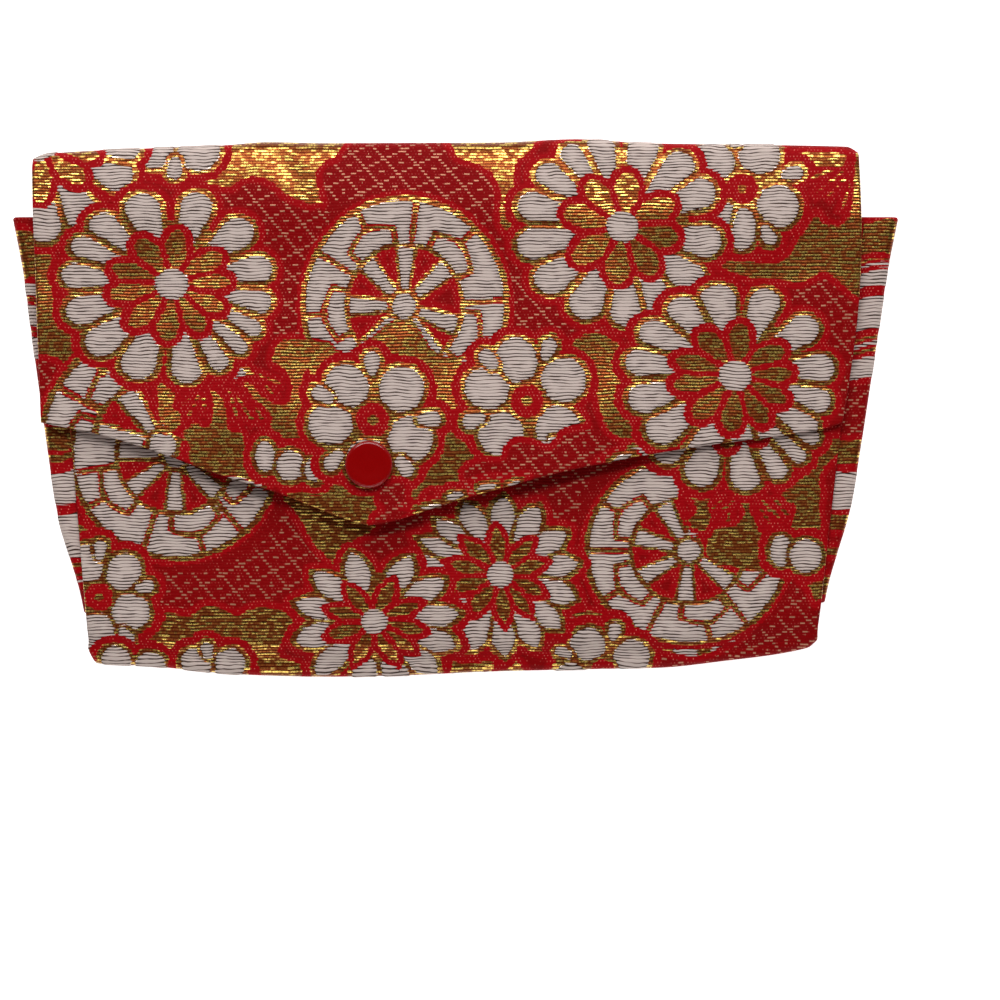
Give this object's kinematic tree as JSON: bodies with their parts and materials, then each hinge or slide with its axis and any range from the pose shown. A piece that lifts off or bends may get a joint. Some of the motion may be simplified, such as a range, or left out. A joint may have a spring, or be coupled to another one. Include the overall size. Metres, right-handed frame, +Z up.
{
  "type": "jewelry pouch",
  "caption": "Flat envelope pouch of gold, red and white brocade with a pointed flap, folded side gussets and a glossy press stud, lying snapped shut on its back.",
  "frame": {"origin": "under the middle of the pouch, on the surface that its back lies on", "axes": "+X runs to the right along the pouch's width, +Y towards the top fold, +Z up out of the surface, through the flap"},
  "size_m": [0.1904, 0.1155, 0.0137],
  "materials": {
    "brocade": "figured brocade: red satin ground, white floats and gold lame weft",
    "red_plastic": "glossy, moulded"
  },
  "bodies": {
    "root": {"body_and_flap": "brocade", "gusset_left": "brocade", "gusset_right": "brocade", "snap_cap": "red_plastic", "snap_stud": "red_plastic"}
  },
  "joints": []
}
